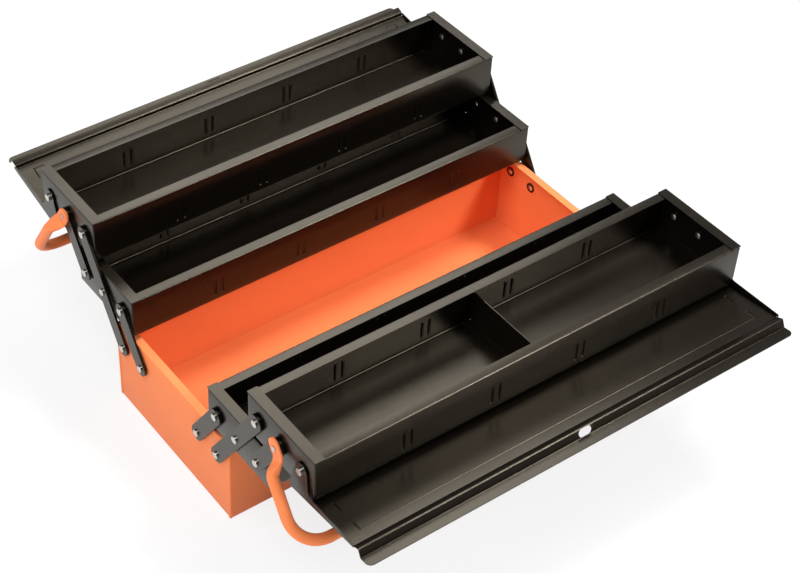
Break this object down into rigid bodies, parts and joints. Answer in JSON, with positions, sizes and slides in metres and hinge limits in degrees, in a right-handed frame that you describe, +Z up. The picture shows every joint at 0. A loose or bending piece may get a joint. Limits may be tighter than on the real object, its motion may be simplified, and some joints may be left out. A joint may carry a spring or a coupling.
{
  "type": "cantilever tool box",
  "caption": "Folding sheet-steel tool box that opens to both sides: a deep case, trays on swinging links, hinged lids and tube handles.",
  "frame": {"origin": "middle of the case's flat bottom", "axes": "+X along the box, +Y to the rear side's trays, +Z up"},
  "size_m": [0.573, 0.6732, 0.216],
  "materials": {
    "orange_paint": "satin orange enamel",
    "black_paint": "satin brown-black powder coat",
    "plated_steel": "nickel-plated rivets"
  },
  "bodies": {
    "case": {"bottom_case": "orange_paint", "case_rivets": "plated_steel", "case_washers": "black_paint"},
    "rear_long_links": {"rear_left_long_link": "black_paint", "rear_right_long_link": "black_paint"},
    "rear_short_links": {"rear_left_short_link": "black_paint", "rear_right_short_link": "black_paint"},
    "rear_outer_links": {"rear_left_outer_link": "black_paint", "rear_right_outer_link": "black_paint"},
    "rear_lower_level": {"rear_lower_tray": "black_paint", "rear_lower_rivets": "plated_steel", "rear_lower_washers": "black_paint"},
    "rear_upper_level": {"rear_upper_tray": "black_paint", "rear_upper_rivets": "plated_steel", "rear_upper_washers": "black_paint", "rear_handle_rivets": "plated_steel", "rear_lid_rivets": "plated_steel"},
    "rear_lid": {"rear_lid": "black_paint"},
    "rear_handle": {"rear_handle": "orange_paint"},
    "front_long_links": {"front_left_long_link": "black_paint", "front_right_long_link": "black_paint"},
    "front_short_links": {"front_left_short_link": "black_paint", "front_right_short_link": "black_paint"},
    "front_outer_links": {"front_left_outer_link": "black_paint", "front_right_outer_link": "black_paint"},
    "front_lower_level": {"front_lower_tray": "black_paint", "front_lower_rivets": "plated_steel", "front_lower_washers": "black_paint"},
    "front_upper_level": {"front_upper_tray": "black_paint", "front_upper_rivets": "plated_steel", "front_upper_washers": "black_paint", "front_handle_rivets": "plated_steel", "front_lid_rivets": "plated_steel", "tray_divider": "black_paint"},
    "front_lid": {"front_lid": "black_paint"},
    "front_handle": {"front_handle": "orange_paint"}
  },
  "joints": [
    {"name": "rear_swing", "type": "hinge", "parent": "case", "child": "rear_long_links", "pos_m": [0, 0.0909, 0.083], "axis": [1, 0, 0], "range_deg": [0, 66.35]},
    {"name": "rear_lower_tray_pivot", "type": "hinge", "parent": "rear_long_links", "child": "rear_lower_level", "pos_m": [0, 0.1262, 0.137], "axis": [1, 0, 0], "range_deg": [-66.35, 0]},
    {"name": "rear_upper_tray_pivot", "type": "hinge", "parent": "rear_long_links", "child": "rear_upper_level", "pos_m": [0, 0.1615, 0.191], "axis": [1, 0, 0], "range_deg": [-66.35, 0]},
    {"name": "rear_short_link_pivot", "type": "hinge", "parent": "case", "child": "rear_short_links", "pos_m": [0, 0.0547, 0.083], "axis": [1, 0, 0], "range_deg": [0, 66.35]},
    {"name": "rear_outer_link_pivot", "type": "hinge", "parent": "rear_lower_level", "child": "rear_outer_links", "pos_m": [0, 0.1624, 0.137], "axis": [1, 0, 0], "range_deg": [0, 66.35]},
    {"name": "rear_lid_hinge", "type": "hinge", "parent": "rear_upper_level", "child": "rear_lid", "pos_m": [0, 0.2339, 0.191], "axis": [1, 0, 0], "range_deg": [0, 166.9]},
    {"name": "rear_handle_hinge", "type": "hinge", "parent": "rear_upper_level", "child": "rear_handle", "pos_m": [0, 0.1977, 0.191], "axis": [1, 0, 0], "range_deg": [0, 176]},
    {"name": "front_swing", "type": "hinge", "parent": "case", "child": "front_long_links", "pos_m": [0, -0.0909, 0.083], "axis": [-1, 0, 0], "range_deg": [0, 66.35]},
    {"name": "front_lower_tray_pivot", "type": "hinge", "parent": "front_long_links", "child": "front_lower_level", "pos_m": [0, -0.1262, 0.137], "axis": [-1, 0, 0], "range_deg": [-66.35, 0]},
    {"name": "front_upper_tray_pivot", "type": "hinge", "parent": "front_long_links", "child": "front_upper_level", "pos_m": [0, -0.1615, 0.191], "axis": [-1, 0, 0], "range_deg": [-66.35, 0]},
    {"name": "front_short_link_pivot", "type": "hinge", "parent": "case", "child": "front_short_links", "pos_m": [0, -0.0547, 0.083], "axis": [-1, 0, 0], "range_deg": [0, 66.35]},
    {"name": "front_outer_link_pivot", "type": "hinge", "parent": "front_lower_level", "child": "front_outer_links", "pos_m": [0, -0.1624, 0.137], "axis": [-1, 0, 0], "range_deg": [0, 66.35]},
    {"name": "front_lid_hinge", "type": "hinge", "parent": "front_upper_level", "child": "front_lid", "pos_m": [0, -0.2339, 0.191], "axis": [-1, 0, 0], "range_deg": [0, 174.5]},
    {"name": "front_handle_hinge", "type": "hinge", "parent": "front_upper_level", "child": "front_handle", "pos_m": [0, -0.1977, 0.191], "axis": [-1, 0, 0], "range_deg": [0, 176]}
  ],
  "couplings": [
    {"joint": "rear_lower_tray_pivot", "follows": "rear_swing", "ratio": -1},
    {"joint": "rear_upper_tray_pivot", "follows": "rear_swing", "ratio": -1},
    {"joint": "rear_short_link_pivot", "follows": "rear_swing", "ratio": 1},
    {"joint": "rear_outer_link_pivot", "follows": "rear_swing", "ratio": 1},
    {"joint": "rear_lid_hinge", "follows": "rear_swing", "ratio": 2.5156},
    {"joint": "rear_handle_hinge", "follows": "rear_swing", "ratio": 2.6528},
    {"joint": "front_lower_tray_pivot", "follows": "front_swing", "ratio": -1},
    {"joint": "front_upper_tray_pivot", "follows": "front_swing", "ratio": -1},
    {"joint": "front_short_link_pivot", "follows": "front_swing", "ratio": 1},
    {"joint": "front_outer_link_pivot", "follows": "front_swing", "ratio": 1},
    {"joint": "front_lid_hinge", "follows": "front_swing", "ratio": 2.6302},
    {"joint": "front_handle_hinge", "follows": "front_swing", "ratio": 2.6528}
  ]
}
